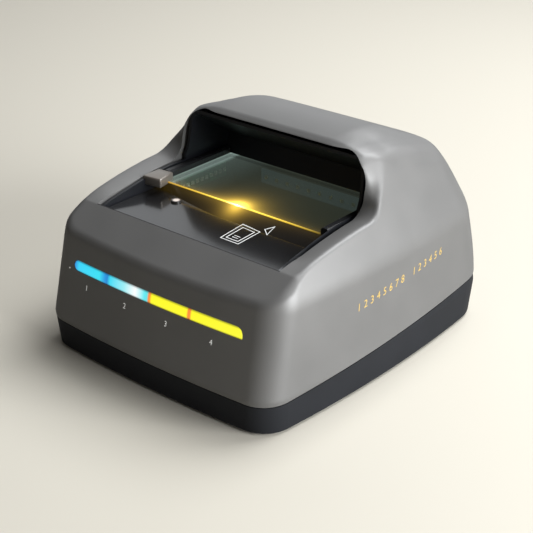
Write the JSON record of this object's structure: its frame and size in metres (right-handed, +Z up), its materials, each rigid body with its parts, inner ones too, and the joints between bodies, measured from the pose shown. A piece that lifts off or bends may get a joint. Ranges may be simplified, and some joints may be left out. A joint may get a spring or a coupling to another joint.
{
  "type": "passport reader",
  "caption": "Counter-top passport reader: arched hood over a document glass, a card tray in front, a lit bar across the sloping front face and a rocker switch at the rear.",
  "frame": {"origin": "on the face that the rubber feet stand on, under the middle of the body's outline", "axes": "+Z up, +Y towards the rear with the sockets, +X to the right of a person who faces the light bar"},
  "size_m": [0.2092, 0.2424, 0.1427],
  "materials": {
    "housing": "satin metallic grey plastic",
    "base": "matt near-black plastic",
    "liner": "matt black plastic",
    "panel": "glossy black plastic",
    "glass": "clear flat glass",
    "lamp": "milky lamp plastic",
    "light_cyan": "translucent, lit cyan",
    "light_white": "translucent, lit white",
    "light_yellow": "translucent, lit yellow",
    "board": "green coated circuit board",
    "aluminium": "extruded aluminium",
    "steel": "plated steel",
    "brass": "plated brass",
    "ribbon": "flat white cable",
    "rubber": "black rubber"
  },
  "bodies": {
    "housing": {"upper_cover": "housing", "base_tray": "base", "bay_liner": "liner", "document_platform": "liner", "document_glass": "glass", "left_rail": "liner", "right_rail": "liner", "sensor_block": "housing", "card_panel": "panel", "sensor_lens": "lamp", "light_segment_1": "light_cyan", "light_segment_2": "light_white", "light_segment_3": "light_yellow", "light_segment_4": "light_yellow", "light_bar_carrier": "liner", "light_bar_board": "board", "light_bar_leds": "lamp", "optical_box": "liner", "rear_lamp_board": "board", "left_lamp_board": "board", "right_lamp_board": "board", "document_lamps": "lamp", "camera_board": "board", "camera_barrel": "panel", "camera_lens": "glass", "card_antenna_board": "board", "main_board": "board", "processor": "panel", "heat_sink": "aluminium", "buzzer": "panel", "usb_socket_shell": "steel", "usb_socket_tongue": "panel", "power_socket": "panel", "power_socket_pin": "brass", "switch_frame": "panel", "ribbon_cable": "ribbon", "rubber_feet": "rubber", "case_screws": "steel", "board_screws": "steel", "camera_screws": "steel"},
    "rocker": {"power_rocker": "panel"}
  },
  "joints": [
    {"name": "power_switch", "type": "hinge", "parent": "housing", "child": "rocker", "pos_m": [0.046, 0.1182, 0.0175], "axis": [1, 0, 0], "range_deg": [-16, 0]}
  ]
}
